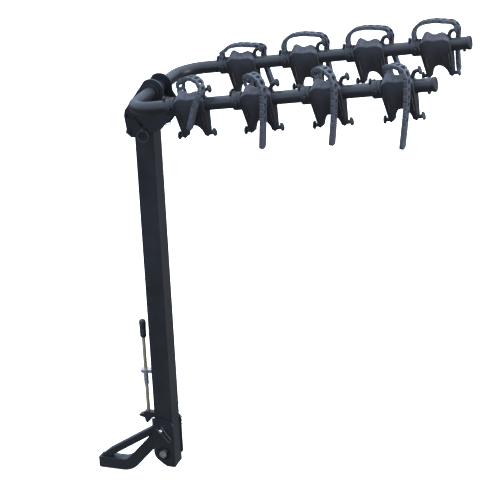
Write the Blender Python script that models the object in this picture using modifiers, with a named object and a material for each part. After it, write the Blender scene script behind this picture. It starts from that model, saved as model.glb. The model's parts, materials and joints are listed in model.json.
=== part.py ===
"""Hitch mounted bike rack: a tilting mast on a hitch foot, with two folding arms and eight cradles.

Units are metres, +Z is up. The origin is the middle of the plugged end of the shank tube.
The arms run along +X, and Y is across the rack.
"""
import math

import bmesh
import bpy
from mathutils import Matrix, Vector

GAP = 0.0003  # clearance between neighbouring pieces

# Shank: a square tube bent upwards, and a smaller brace on top of it
SHANK = 0.03175
SHANK_WALL = 0.003
SHANK_BEND_START = 0.069
SHANK_BEND_RADIUS = 0.050
SHANK_RISE = math.radians(48.5)
PLUG_FLANGE = 0.003
BRACE = 0.020
BRACE_RISE = math.radians(32.8)
BRACE_TOP_JOIN_Z = 0.119
BRACE_HEEL_X = 0.004
BRACE_KNEE_X = 0.031

# Mast: a square tube that stands between two pairs of plates
MAST_X = 0.204
MAST = 0.0508
MAST_WALL = 0.003
MAST_BOTTOM_Z = 0.018
MAST_TOP_Z = 1.018
PLATE = 0.005
PLATE_Y = MAST / 2 + 0.0005 + PLATE / 2

# Tilt joint at the foot of the mast, and its lock pin
TILT_PIVOT = (0.202, 0.061)
TILT_LOCK = (0.201, 0.132)
BRACKET_LEFT = 0.173
BRACKET_RIGHT = 0.233
BRACKET_TOP = 0.161

# Fold joint at the head of the mast, and its lock pin
FOLD_PIVOT = (0.166, 0.9614)
HEAD_LOCK = (0.206, 0.968)
HEAD = (0.233, 1.0654)
HEAD_PLATE_RADIUS = 0.0335
FOLD_SLOT_SWEEP = 88

# Pins and bolts
PIN_RADIUS = 0.00475
TILT_BOLT_RADIUS = 0.0063
FOLD_BOLT_RADIUS = 0.004
PIN_NOSE = 0.016
RING_WIRE = 0.0012

# Arms: one tube bent into a U, tilted up towards its ends
ARM_RADIUS = 0.03175 / 2
ARM_WALL = 0.002
CAP_STEM_PLAY = 0.0009
ARM_SPREAD = 0.1858
ARM_BEND = 0.063
ARM_LENGTH = 0.753
ARM_TILT = math.radians(7.74)

# Cradles, four on each arm
CRADLES = 4
CRADLE_FIRST = 0.1666
CRADLE_PITCH = 0.1683
CRADLE_DEPTH = 0.040
CRADLE_LEG_Z = -0.078
CRADLE_ARCH_RADIUS = 0.0220
SADDLE_BASE_Z = 0.012
SADDLE_EDGE_RISE = 0.3  # the rise left at the saddle's front and back edges
COLLAR_RADIUS = 0.0215
COLLAR_ENDS = (-0.060, -0.037)
STRAP_WIDTH = 0.022
STRAP_THICK = 0.008

# Release rod on the front face of the mast
ROD_X = 0.152
ROD_RADIUS = 0.005
ROD_BOTTOM_Z = 0.168
ROD_TOP_Z = 0.432
GRIP = (0.384, 0.434)
GUIDE_Z = 0.288
SLEEVE_BOTTOM_Z = 0.248

POWDER_COAT = ("powder_coat", (0.016, 0.017, 0.020), 0.42, 0.0)
PLASTIC = ("cradle_plastic", (0.030, 0.029, 0.034), 0.62, 0.0)
RUBBER = ("strap_rubber", (0.040, 0.043, 0.050), 0.70, 0.0)
ZINC = ("bright_zinc", (0.55, 0.56, 0.57), 0.32, 1.0)
YELLOW_ZINC = ("yellow_zinc", (0.50, 0.38, 0.16), 0.35, 1.0)
STEEL_WIRE = ("steel_wire", (0.34, 0.35, 0.36), 0.35, 1.0)


def clear_scene():
    for item in list(bpy.data.objects):
        bpy.data.objects.remove(item, do_unlink=True)


def new_collection(name):
    collection = bpy.data.collections.new(name)
    bpy.context.scene.collection.children.link(collection)
    return collection


def material(spec):
    name, colour, roughness, metallic = spec
    found = bpy.data.materials.get(name)
    if found:
        return found
    made = bpy.data.materials.new(name)
    made.use_nodes = True
    shader = made.node_tree.nodes["Principled BSDF"]
    shader.inputs["Base Color"].default_value = (*colour, 1.0)
    shader.inputs["Roughness"].default_value = roughness
    shader.inputs["Metallic"].default_value = metallic
    return made


def add_object(name, data, spec, parent=None, location=(0, 0, 0), rotation=(0, 0, 0)):
    made = bpy.data.objects.new(name, data)
    if not data.materials:
        data.materials.append(material(spec))
    made.location = location
    made.rotation_euler = rotation
    made.parent = parent
    RACK.objects.link(made)
    return made


def add_cutter(name, data, parent=None, location=(0, 0, 0), rotation=(0, 0, 0)):
    made = bpy.data.objects.new(name, data)
    made.location = location
    made.rotation_euler = rotation
    made.parent = parent
    made.hide_render = True
    made.display_type = "WIRE"
    CUTTERS.objects.link(made)
    return made


def boolean(target, tool, operation="DIFFERENCE"):
    cut = target.modifiers.new(operation.title(), "BOOLEAN")
    cut.operation = operation
    cut.solver = "EXACT"
    cut.object = tool


def bevel(target, width, segments=2):
    made = target.modifiers.new("Bevel", "BEVEL")
    made.width = width
    made.segments = segments
    made.limit_method = "ANGLE"


def finished_mesh(item, name):
    """The evaluated mesh of an object, in its own axes, with the caps of a curve welded."""
    bpy.context.view_layer.update()
    evaluated = item.evaluated_get(bpy.context.evaluated_depsgraph_get())
    mesh = bpy.data.meshes.new_from_object(evaluated)
    mesh.name = name
    work = bmesh.new()
    work.from_mesh(mesh)
    bmesh.ops.remove_doubles(work, verts=work.verts, dist=0.00001)
    work.to_mesh(mesh)
    work.free()
    return mesh


def box_mesh(name, low, high):
    work = bmesh.new()
    bmesh.ops.create_cube(work, size=1.0)
    size = Vector(high) - Vector(low)
    middle = (Vector(high) + Vector(low)) / 2
    bmesh.ops.scale(work, verts=work.verts, vec=size)
    bmesh.ops.translate(work, verts=work.verts, vec=middle)
    mesh = bpy.data.meshes.new(name)
    work.to_mesh(mesh)
    work.free()
    return mesh


def rod_mesh(name, radius, start, end, sides=16):
    """A closed round bar along the mesh's own Z."""
    work = bmesh.new()
    bmesh.ops.create_cone(
        work, cap_ends=True, segments=sides, radius1=radius, radius2=radius, depth=end - start
    )
    bmesh.ops.translate(work, verts=work.verts, vec=(0, 0, (start + end) / 2))
    mesh = bpy.data.meshes.new(name)
    work.to_mesh(mesh)
    work.free()
    return mesh


def turned(name, profile, spec, parent=None, location=(0, 0, 0), rotation=(0, 0, 0), sides=16):
    """A profile of (radius, height) points on a Screw modifier, turned about the object's Z."""
    profile = running_down(profile)
    mesh = bpy.data.meshes.new(name)
    points = [(radius, 0, height) for radius, height in profile]
    edges = [(i, i + 1) for i in range(len(points) - 1)]
    if profile[0][0] > 0 or profile[-1][0] > 0:
        edges.append((len(points) - 1, 0))
    mesh.from_pydata(points, edges, [])
    made = add_object(name, mesh, spec, parent, location, rotation)
    screw = made.modifiers.new("Screw", "SCREW")
    screw.steps = sides
    screw.render_steps = sides
    screw.use_merge_vertices = True
    screw.merge_threshold = 0.00001
    screw.use_smooth_shade = True
    return made


def running_down(profile):
    """The profile in the order that runs down its outer side."""
    pairs = zip(profile, [*profile[1:], profile[0]])
    area = sum(a[0] * b[1] - b[0] * a[1] for a, b in pairs)
    return list(reversed(profile)) if area > 0 else list(profile)


def arc(centre, radius, start, end, steps):
    """Points on an arc, with the angles in degrees."""
    angles = [math.radians(start + (end - start) * i / steps) for i in range(steps + 1)]
    return [(centre[0] + radius * math.cos(a), centre[1] + radius * math.sin(a)) for a in angles]


def flat_curve(name, outlines, thickness):
    curve = bpy.data.curves.new(name, "CURVE")
    curve.dimensions = "2D"
    curve.fill_mode = "BOTH"
    curve.extrude = thickness / 2
    for outline in outlines:
        spline = curve.splines.new("POLY")
        spline.points.add(len(outline) - 1)
        for point, (x, y) in zip(spline.points, outline):
            point.co = (x, y, 0, 1)
        spline.use_cyclic_u = True
    return curve


UPRIGHT = (math.pi / 2, 0, 0)  # lays a curve's XY plane into the XZ plane
ALONG_Y = (-math.pi / 2, 0, 0)  # turns a mesh's Z axis to +Y
ALONG_X = (0, math.pi / 2, 0)  # turns a mesh's Z axis to +X


def upright_plate(name, outlines, thickness, spec, y=0.0, parent=None):
    """A flat piece drawn in X and Z, with its middle at the given Y."""
    curve = flat_curve(name, outlines, thickness)
    return add_object(name, curve, spec, parent, (0, y, 0), UPRIGHT)


def upright_mesh(name, outline, thickness):
    """The same as a mesh whose vertices are already in X, Y and Z, for Boolean work."""
    helper = bpy.data.objects.new(name, flat_curve(name, [outline], thickness))
    CUTTERS.objects.link(helper)
    mesh = finished_mesh(helper, name)
    bpy.data.objects.remove(helper, do_unlink=True)
    mesh.transform(Matrix.Rotation(math.pi / 2, 4, "X"))
    return mesh


def wire(name, points, radius, spec, parent=None, closed=False, sides_resolution=2):
    curve = bpy.data.curves.new(name, "CURVE")
    curve.dimensions = "3D"
    curve.bevel_depth = radius
    curve.bevel_resolution = sides_resolution
    curve.use_fill_caps = not closed
    spline = curve.splines.new("POLY")
    spline.points.add(len(points) - 1)
    for point, position in zip(spline.points, points):
        point.co = (*position, 1)
    spline.use_cyclic_u = closed
    spline.use_smooth = True
    return add_object(name, curve, spec, parent)


def smooth_route(points, steps):
    """Catmull-Rom points through a hand-chosen route."""
    padded = [points[0], *points, points[-1]]
    route = []
    for a, b, c, d in zip(padded, padded[1:], padded[2:], padded[3:]):
        a, b, c, d = Vector(a), Vector(b), Vector(c), Vector(d)
        for i in range(steps):
            t = i / steps
            route.append(
                (2 * b + (c - a) * t + (2 * a - 5 * b + 4 * c - d) * t**2
                 + (3 * b - a - 3 * c + d) * t**3) / 2
            )
    route.append(Vector(points[-1]))
    return route


# ---------------------------------------------------------------- shank


def shank_outline(half, start_x):
    """The bent tube's outline in X and Z, at a given half height."""
    centre = (SHANK_BEND_START, SHANK_BEND_RADIUS)
    rise = math.degrees(SHANK_RISE)
    below = arc(centre, SHANK_BEND_RADIUS + half, -90, rise - 90, 8)
    above = arc(centre, SHANK_BEND_RADIUS - half, rise - 90, -90, 8)
    end_x = BRACKET_LEFT - GAP
    low_end = (end_x, below[-1][1] + (end_x - below[-1][0]) * math.tan(SHANK_RISE))
    high_end = (end_x, above[0][1] + (end_x - above[0][0]) * math.tan(SHANK_RISE))
    return [(start_x, -half), *below, low_end, high_end, *above, (start_x, half)]


def make_shank_bar():
    tube_start = PLUG_FLANGE + GAP
    mesh = upright_mesh("shank_bar", shank_outline(SHANK / 2, tube_start), SHANK)
    bar = add_object("shank_bar", mesh, POWDER_COAT)
    bevel(bar, 0.005, 2)
    inside = SHANK / 2 - SHANK_WALL
    cavity = upright_mesh("shank_cavity", shank_outline(inside, -SHANK), 2 * inside)
    trim = Matrix.Translation((-SHANK_WALL, 0, 0))
    cavity.transform(trim)
    boolean(bar, add_cutter("shank_cavity", cavity))


def make_shank_brace():
    end_x = BRACKET_LEFT - GAP
    slope = math.tan(BRACE_RISE)
    half = BRACE / 2 / math.cos(BRACE_RISE)
    seat_z = SHANK / 2 + GAP
    tube_top = shank_outline(SHANK / 2, 0)[-10]
    tube_slope = math.tan(SHANK_RISE)
    clear = GAP / math.cos(SHANK_RISE)

    def edge(x, side):
        return BRACE_TOP_JOIN_Z + (x - end_x) * slope + side * half

    meet_x = (edge(0, -1) - tube_top[1] - clear + tube_top[0] * tube_slope) / (tube_slope - slope)
    toe_x = end_x - (BRACE_TOP_JOIN_Z - half - seat_z) / slope
    outline = [
        (BRACE_HEEL_X, seat_z),
        (toe_x, seat_z),
        (meet_x, edge(meet_x, -1)),
        (end_x, tube_top[1] + (end_x - tube_top[0]) * tube_slope + clear),
        (end_x, edge(end_x, 1)),
        (BRACE_KNEE_X, edge(BRACE_KNEE_X, 1)),
    ]
    brace = add_object("shank_brace", upright_mesh("shank_brace", outline, BRACE), POWDER_COAT)
    bevel(brace, 0.003, 2)


def make_end_plug():
    half = SHANK / 2
    inside = half - SHANK_WALL - GAP
    mesh = box_mesh("shank_end_plug", (0, -half, -half), (PLUG_FLANGE, half, half))
    plug = add_object("shank_end_plug", mesh, PLASTIC)
    bevel(plug, 0.001, 1)
    stem = box_mesh("plug_stem", (PLUG_FLANGE / 2, -inside, -inside), (0.018, inside, inside))
    boolean(plug, add_cutter("plug_stem", stem), "UNION")


# ---------------------------------------------------------------- foot of the mast


def hex_head(name, radius, start, end, spec, x, z):
    mesh = rod_mesh(name, radius, start, end, sides=6)
    return add_object(name, mesh, spec, None, (x, 0, z), ALONG_Y)


def make_bolt(name, spec, pivot, shaft_radius, head_radius, head_height, reach):
    """A hexagon bolt whose head is on the near side."""
    outside = PLATE_Y + PLATE / 2
    head_start = -outside - reach - head_height
    bolt = hex_head(name, head_radius, head_start, -outside - reach, spec, *pivot)
    shaft = rod_mesh(name + "_shaft", shaft_radius, head_start + 0.001, outside + 0.012)
    boolean(bolt, add_cutter(name + "_shaft", shaft, None, bolt.location, ALONG_Y), "UNION")


def make_nut(name, spec, pivot, hole_radius, radius, height):
    outside = PLATE_Y + PLATE / 2 + GAP
    nut = hex_head(name, radius, outside, outside + height, spec, *pivot)
    hole = rod_mesh(name + "_hole", hole_radius, 0, 0.06)
    boolean(nut, add_cutter(name + "_hole", hole, None, nut.location, ALONG_Y))


def bracket_outline():
    x, z = TILT_PIVOT
    low = z - 0.029
    return [
        (BRACKET_LEFT, BRACKET_TOP),
        *arc((x, z), x - BRACKET_LEFT, 180, 270, 8),
        (BRACKET_RIGHT - 0.009, low),
        (BRACKET_RIGHT, low + 0.009),
        (BRACKET_RIGHT, BRACKET_TOP - 0.018),
        (BRACKET_RIGHT - 0.007, BRACKET_TOP - 0.007),
        (MAST_X, BRACKET_TOP - 0.001),
    ]


def make_bracket():
    holes = [
        arc(TILT_PIVOT, TILT_BOLT_RADIUS + GAP, 0, 337.5, 15),
        arc(TILT_LOCK, PIN_RADIUS + GAP, 0, 337.5, 15),
    ]
    for side, y in (("near", -PLATE_Y), ("far", PLATE_Y)):
        upright_plate("bracket_plate_" + side, [bracket_outline(), *holes], PLATE, POWDER_COAT, y)


def make_tilt_pivot():
    make_bolt("tilt_pivot_bolt", ZINC, TILT_PIVOT, TILT_BOLT_RADIUS, 0.0105, 0.007, 0.003 + GAP)
    make_nut("tilt_pivot_nut", ZINC, TILT_PIVOT, TILT_BOLT_RADIUS + GAP, 0.0105, 0.009)
    outside = PLATE_Y + PLATE / 2
    washer = [(TILT_BOLT_RADIUS + GAP, -outside - 0.0028), (0.017, -outside - 0.0028),
              (0.017, -outside - GAP), (TILT_BOLT_RADIUS + GAP, -outside - GAP)]
    place = (TILT_PIVOT[0], 0, TILT_PIVOT[1])
    turned("tilt_pivot_washer", washer, ZINC, None, place, ALONG_Y, 20)
    inner = TILT_BOLT_RADIUS + GAP
    bush = [(inner, -MAST / 2), (0.009, -MAST / 2), (0.009, MAST / 2), (inner, MAST / 2)]
    turned("tilt_pivot_bush", bush, PLASTIC, None, place, ALONG_Y)


def pin_with_ring_hole(name, spec, lock, outward, ring_y):
    """A lock pin along Y whose head and pull ring are on the outward side, -1 near or 1 far."""
    outside = PLATE_Y + PLATE / 2
    flange = outside + GAP
    profile = [
        (0, -outside - PIN_NOSE), (PIN_RADIUS - 0.0015, -outside - PIN_NOSE),
        (PIN_RADIUS, -outside - PIN_NOSE + 0.002), (PIN_RADIUS, flange), (0.009, flange),
        (0.009, flange + 0.003), (PIN_RADIUS, flange + 0.003), (PIN_RADIUS, ring_y + 0.006),
        (0.003, ring_y + 0.008), (0, ring_y + 0.008),
    ]
    turn = ALONG_Y if outward > 0 else (math.pi / 2, 0, 0)
    return turned(name, profile, spec, None, (lock[0], 0, lock[1]), turn)


def make_tilt_lock():
    ring_y = PLATE_Y + 0.0145
    ring_radius = 0.0145
    pin = pin_with_ring_hole("tilt_lock_pin", ZINC, TILT_LOCK, 1, ring_y)
    hole = rod_mesh("tilt_pin_hole", 0.0021, -0.02, 0.02, 10)
    place = (TILT_LOCK[0] + 0.0005, ring_y, TILT_LOCK[1])
    boolean(pin, add_cutter("tilt_pin_hole", hole, None, place))
    centre = (place[0] + ring_radius, TILT_LOCK[1])
    points = [(x, ring_y, z) for x, z in arc(centre, ring_radius, 0, 337.5, 15)]
    wire("tilt_pin_ring", points, RING_WIRE, STEEL_WIRE, closed=True)
    make_hairpin("tilt_pin_clip", TILT_LOCK, -52, 0.034, -1)


def make_hairpin(name, lock, angle, length, side):
    """A sprung wire clip whose two legs straddle a pin's nose and meet in a loop."""
    y = side * (PLATE_Y + PLATE / 2 + 0.0075)
    half = PIN_RADIUS + RING_WIRE + 0.0006
    along = Vector((math.cos(math.radians(angle)), 0, math.sin(math.radians(angle))))
    across = Vector((-along.z, 0, along.x))
    origin = Vector((lock[0], y, lock[1]))
    flare = -0.010
    outline = [(flare, half + 0.003), (-0.005, half), (0.004, half), (0.012, half - 0.001)]
    loop = [(length + px, py) for px, py in arc((0, 0), half - 0.001, 80, -80, 8)]
    route = outline + loop + [(u, -v) for u, v in reversed(outline)]
    points = [origin + along * u + across * v for u, v in route]
    wire(name, points, RING_WIRE, STEEL_WIRE)


# The steel lanyard of the tilt lock pin, from the eyelet on the far plate to the pin's tail
LANYARD_RADIUS = 0.001
LANYARD_EYELET = (0.190, 0.0398, 0.151)
LANYARD_ROUTE = [
    (0.190, 0.0403, 0.151),
    (0.190, 0.0447, 0.1520),
    (0.1905, 0.0478, 0.156),
    (0.1935, 0.0485, 0.164),
    (0.2045, 0.0475, 0.1745),
    (0.226, 0.0455, 0.176),
    (0.256, 0.0440, 0.165),
    (0.296, 0.0430, 0.158),
    (0.319, 0.0430, 0.150),
    (0.325, 0.0430, 0.136),
    (0.315, 0.0430, 0.116),
    (0.293, 0.0440, 0.101),
    (0.262, 0.0460, 0.100),
    (0.232, 0.0505, 0.109),
    (0.212, 0.0530, 0.119),
    (0.2035, 0.0530, 0.1285),
]


def make_lanyard():
    wire("tilt_lanyard", smooth_route(LANYARD_ROUTE, 4), LANYARD_RADIUS, STEEL_WIRE)
    outside = PLATE_Y + PLATE / 2 + GAP
    x, end_y, z = LANYARD_EYELET
    profile = [(0, outside), (0.0055, outside), (0.0055, outside + 0.003), (0.003, end_y),
               (0, end_y)]
    turned("lanyard_rivet", profile, ZINC, None, (x, 0, z), ALONG_Y, 12)


# ---------------------------------------------------------------- mast


def mast_side_outline():
    left, right = MAST_X - MAST / 2, MAST_X + MAST / 2
    heel = arc((MAST_X + 0.0026, MAST_BOTTOM_Z + 0.033), 0.028, 180, 235, 4)
    return [(left, MAST_TOP_Z), (left, MAST_BOTTOM_Z + 0.034), *heel[1:],
            (MAST_X + 0.002, MAST_BOTTOM_Z), (right, MAST_BOTTOM_Z), (right, MAST_TOP_Z)]


def slot_outline(pivot, lock, sweep):
    """The path of a lock pin about a pivot, as an outline a little wider than the pin."""
    dx, dz = lock[0] - pivot[0], lock[1] - pivot[1]
    radius, start = math.hypot(dx, dz), math.degrees(math.atan2(dz, dx))
    half = PIN_RADIUS + 0.0005
    cap_turn = 180 if sweep > 0 else -180
    end_cap = arc(lock, half, start + 180, start + 180 + cap_turn, 6)
    outer = arc(pivot, radius + half, start, start + sweep, 12)
    inner = arc(pivot, radius - half, start + sweep, start, 12)
    return [*end_cap[1:-1], *outer, *inner]


def make_mast():
    mast = add_object("mast_tube", upright_mesh("mast_tube", mast_side_outline(), MAST), POWDER_COAT)
    half = MAST / 2 - MAST_WALL
    cavity = box_mesh("mast_cavity", (MAST_X - half, -half, -0.1), (MAST_X + half, half, 1.1))
    boolean(mast, add_cutter("mast_cavity", cavity))
    pivot = rod_mesh("mast_pivot_hole", 0.009 + GAP, -MAST, MAST, 16)
    place = (TILT_PIVOT[0], 0, TILT_PIVOT[1])
    boolean(mast, add_cutter("mast_pivot_hole", pivot, None, place, ALONG_Y))
    slot = upright_mesh("tilt_slot", slot_outline(TILT_PIVOT, TILT_LOCK, 40), 2 * MAST)
    boolean(mast, add_cutter("tilt_slot", slot))
    lock_hole = rod_mesh("mast_lock_hole", PIN_RADIUS + GAP, -MAST, MAST, 16)
    place = (HEAD_LOCK[0], 0, HEAD_LOCK[1])
    boolean(mast, add_cutter("mast_lock_hole", lock_hole, None, place, ALONG_Y))


def make_mast_cap():
    half, inside = MAST / 2, MAST / 2 - MAST_WALL - GAP
    low, high = MAST_TOP_Z + GAP, MAST_TOP_Z + 0.003
    mesh = box_mesh("mast_top_cap", (MAST_X - half, -half, low), (MAST_X + half, half, high))
    cap = add_object("mast_top_cap", mesh, PLASTIC)
    stem = box_mesh("cap_stem", (MAST_X - inside, -inside, low - 0.008),
                    (MAST_X + inside, inside, low + 0.001))
    boolean(cap, add_cutter("cap_stem", stem), "UNION")


def make_fold_lug():
    face = MAST_X - MAST / 2 - GAP
    x, z = FOLD_PIVOT
    outline = [*arc((x, z), 0.010, 90, 270, 8), (face, z - 0.010), (face, z + 0.010)]
    hole = arc((x, z), FOLD_BOLT_RADIUS + GAP, 0, 330, 11)
    upright_plate("fold_pivot_lug", [outline, hole], MAST - 0.001, POWDER_COAT)


# ---------------------------------------------------------------- release rod


def make_rod_guide():
    face = MAST_X - MAST / 2 - GAP
    eye = arc((ROD_X, 0), 0.0135, 40, 320, 12)
    outline = [*eye, (face, -0.008), (face, 0.008)]
    hole = arc((ROD_X, 0), ROD_RADIUS + GAP, 0, 330, 11)
    curve = flat_curve("rod_guide", [outline, hole], 0.009)
    add_object("rod_guide", curve, ZINC, None, (0, 0, GUIDE_Z))
    top = GUIDE_Z - 0.0045 - GAP
    inner = ROD_RADIUS + GAP
    profile = [(inner, SLEEVE_BOTTOM_Z), (0.0066, SLEEVE_BOTTOM_Z), (0.0066, top), (inner, top)]
    turned("guide_sleeve", profile, ZINC, None, (ROD_X, 0, 0))


def make_release_rod():
    mesh = rod_mesh("release_rod", ROD_RADIUS, ROD_BOTTOM_Z, ROD_TOP_Z, 12)
    add_object("release_rod", mesh, YELLOW_ZINC, None, (ROD_X, 0, 0))
    low, high = GRIP
    inner = ROD_RADIUS + GAP
    profile = [(0, ROD_TOP_Z + GAP), (inner, ROD_TOP_Z + GAP), (inner, low), (0.0075, low),
               (0.0088, low + 0.003), (0.0082, low + 0.025), (0.0088, high - 0.006),
               (0.0070, high - 0.001), (0.0045, high + 0.001), (0, high + 0.001)]
    turned("release_grip", profile, RUBBER, None, (ROD_X, 0, 0))
    make_latch_foot()


def make_latch_foot():
    """The dark foot on the rod's lower end: a flange, a wing to the front and a stub below."""
    top = ROD_BOTTOM_Z - GAP
    face = MAST_X - MAST / 2 - 0.001
    outline = [
        (ROD_X - 0.011, top), (ROD_X - 0.011, top - 0.006), (ROD_X - 0.025, top - 0.010),
        (ROD_X - 0.026, top - 0.015), (ROD_X - 0.010, top - 0.019), (ROD_X - 0.008, top - 0.030),
        (ROD_X - 0.003, top - 0.035), (ROD_X + 0.004, top - 0.028), (ROD_X + 0.007, top - 0.019),
        (face, top - 0.012), (face, top),
    ]
    foot = add_object("latch_foot", upright_mesh("latch_foot", outline, 0.018), POWDER_COAT)
    bevel(foot, 0.0015, 1)


# ---------------------------------------------------------------- head


def head_plate_outline():
    x, z = HEAD
    crown = arc((x, z), HEAD_PLATE_RADIUS, 20, 122, 10)
    return [
        *crown,
        (0.158, 1.0160), (0.155, 1.0010), (0.161, 0.9550), (0.170, 0.9460), (0.182, 0.9460),
        (0.254, 0.9720), (0.287, 1.0120), (0.290, 1.0180), (0.2655, 1.0560),
    ]


def make_head_plates():
    holes = [
        arc(HEAD, ARM_RADIUS + GAP, 0, 345, 23),
        arc(FOLD_PIVOT, FOLD_BOLT_RADIUS + GAP, 0, 330, 11),
        slot_outline(FOLD_PIVOT, HEAD_LOCK, FOLD_SLOT_SWEEP),
    ]
    for side, y in (("near", -PLATE_Y), ("far", PLATE_Y)):
        upright_plate("head_plate_" + side, [head_plate_outline(), *holes], PLATE, POWDER_COAT, y)
    outside = PLATE_Y + PLATE / 2 + GAP
    for side, sign in (("near", -1), ("far", 1)):
        ends = sorted((sign * outside, sign * (outside + 0.009)))
        inner = ARM_RADIUS + GAP
        ring = [(inner, ends[0]), (0.0212, ends[0]), (0.0212, ends[1]), (inner, ends[1])]
        turned("head_collar_" + side, ring, POWDER_COAT, None, (HEAD[0], 0, HEAD[1]), ALONG_Y, 24)


def make_head_lock():
    make_bolt("fold_pivot_bolt", POWDER_COAT, FOLD_PIVOT, FOLD_BOLT_RADIUS, 0.0068, 0.005, GAP)
    make_nut("fold_pivot_nut", POWDER_COAT, FOLD_PIVOT, FOLD_BOLT_RADIUS + GAP, 0.0068, 0.006)
    ring_y = -PLATE_Y - 0.0105
    ring_radius = 0.0150
    pin = pin_with_ring_hole("head_lock_pin", POWDER_COAT, HEAD_LOCK, -1, -ring_y)
    hole = rod_mesh("head_pin_hole", 0.0021, -0.02, 0.02, 10)
    place = (HEAD_LOCK[0], ring_y, HEAD_LOCK[1])
    boolean(pin, add_cutter("head_pin_hole", hole, None, place, ALONG_X))
    centre = (HEAD_LOCK[0], HEAD_LOCK[1] - ring_radius)
    points = [(x, ring_y, z) for x, z in arc(centre, ring_radius, 0, 337.5, 15)]
    wire("head_pin_ring", points, RING_WIRE, STEEL_WIRE, closed=True)
    make_hairpin("head_pin_clip", HEAD_LOCK, 0, 0.040, 1)


# ---------------------------------------------------------------- arms


def arm_path():
    """The U of the tube, near end first, in the arm frame's own axes."""
    bend = ARM_SPREAD - ARM_BEND
    near = [(x, y, 0) for x, y in arc((ARM_BEND, -bend), ARM_BEND, 270, 180, 8)]
    far = [(x, -y, z) for x, y, z in reversed(near)]
    return [(ARM_LENGTH, -ARM_SPREAD, 0), *near, *far, (ARM_LENGTH, ARM_SPREAD, 0)]


def make_arm_tube(frame):
    tube = wire("arm_tube", arm_path(), ARM_RADIUS, POWDER_COAT, frame, False, 4)
    tube.data.use_fill_caps = False
    wall = tube.modifiers.new("Wall", "SOLIDIFY")
    wall.thickness = ARM_WALL
    wall.offset = -1


def make_arm_ends(frame):
    stem = ARM_RADIUS - ARM_WALL - CAP_STEM_PLAY
    profile = [(0, -0.014), (stem, -0.014), (stem, GAP), (0.0174, GAP), (0.0174, 0.006),
               (0.0160, 0.008), (0, 0.008)]
    dome = [(0, 0.0045), (0.0028, 0.0040), (0.0046, 0.0015), (0.0046, 0), (0, 0)]
    for side, y in (("near", -ARM_SPREAD), ("far", ARM_SPREAD)):
        turned("arm_cap_" + side, profile, PLASTIC, frame, (ARM_LENGTH, y, 0), ALONG_X)
        place = (ARM_LENGTH - 0.014, y, -ARM_RADIUS - GAP)
        turned("end_button_" + side, dome, PLASTIC, frame, place, (math.pi, 0, 0), 12)


# ---------------------------------------------------------------- cradles


def saddle_points():
    """The two horns and the valley between them, from right to left."""
    right = [(0.039, 0.012), (0.035, 0.023), (0.029, 0.035), (0.023, 0.036), (0.012, 0.0295)]
    return [*right, (0, 0.027), *[(-x, z) for x, z in reversed(right)]]


def cradle_outline():
    left_foot, right_foot, arch = -0.031, 0.036, CRADLE_ARCH_RADIUS
    middle = (left_foot + right_foot) / 2
    notch = arc((middle, CRADLE_LEG_Z + 0.001), arch, 180, 0, 10)
    return [(-0.039, -0.012), (left_foot, CRADLE_LEG_Z), (middle - arch, CRADLE_LEG_Z),
            *notch[1:-1], (middle + arch, CRADLE_LEG_Z), (right_foot, CRADLE_LEG_Z),
            (0.039, -0.012), *saddle_points()]


def peg_cutter(name, x, z, sign, stem_length, head):
    """A mushroom peg pointing along -X or +X, to be joined to the cradle."""
    profile = [(0, -0.006), (0.004, -0.006), (0.004, stem_length), (head, stem_length),
               (head, stem_length + 0.0025), (head - 0.004, stem_length + 0.0045),
               (0, stem_length + 0.0045)]
    turn = (0, sign * math.pi / 2, 0)
    peg = turned(name, profile, PLASTIC, None, (x, 0, z), turn, 8)
    RACK.objects.unlink(peg)
    CUTTERS.objects.link(peg)
    peg.hide_render = True
    peg.display_type = "WIRE"
    return peg


def slope_saddle(cradle):
    """Gives the saddle a ridge over the arm, with lower edges at its front and back."""
    work = bmesh.new()
    work.from_mesh(cradle.data)
    everything = [*work.verts, *work.edges, *work.faces]
    bmesh.ops.bisect_plane(work, geom=everything, plane_co=(0, 0, 0), plane_no=(0, 1, 0))
    for vert in work.verts:
        rise = vert.co.z - SADDLE_BASE_Z
        if abs(vert.co.y) > CRADLE_DEPTH / 4 and rise > 0:
            vert.co.z = SADDLE_BASE_Z + rise * SADDLE_EDGE_RISE
    work.to_mesh(cradle.data)
    work.free()


def cradle_mesh():
    """One cradle round the arm, with the arm's axis on its own X axis."""
    mesh = upright_mesh("cradle", cradle_outline(), CRADLE_DEPTH)
    cradle = add_object("cradle_pattern", mesh, PLASTIC)
    slope_saddle(cradle)
    length = COLLAR_ENDS[1] - COLLAR_ENDS[0]
    collar = rod_mesh("cradle_collar", COLLAR_RADIUS, COLLAR_ENDS[0], COLLAR_ENDS[0] + length, 16)
    boolean(cradle, add_cutter("cradle_collar", collar, None, (0, 0, 0), ALONG_X), "UNION")
    for name, x, z, sign, stem, head in (
        ("peg_low_left", -0.031, -0.070, -1, 0.009, 0.010),
        ("peg_low_right", 0.036, -0.070, 1, 0.010, 0.010),
        ("peg_high_right", 0.033, 0.030, 1, 0.014, 0.010),
        ("peg_high_left", -0.056, 0.0187, -1, 0.006, 0.008),
    ):
        boolean(cradle, peg_cutter(name, x, z, sign, stem, head), "UNION")
    bore = rod_mesh("cradle_bore", ARM_RADIUS + GAP, -0.1, 0.1, 16)
    boolean(cradle, add_cutter("cradle_bore", bore, None, (0, 0, 0), ALONG_X))
    made = finished_mesh(cradle, "cradle")
    bpy.data.objects.remove(cradle, do_unlink=True)
    return made


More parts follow.
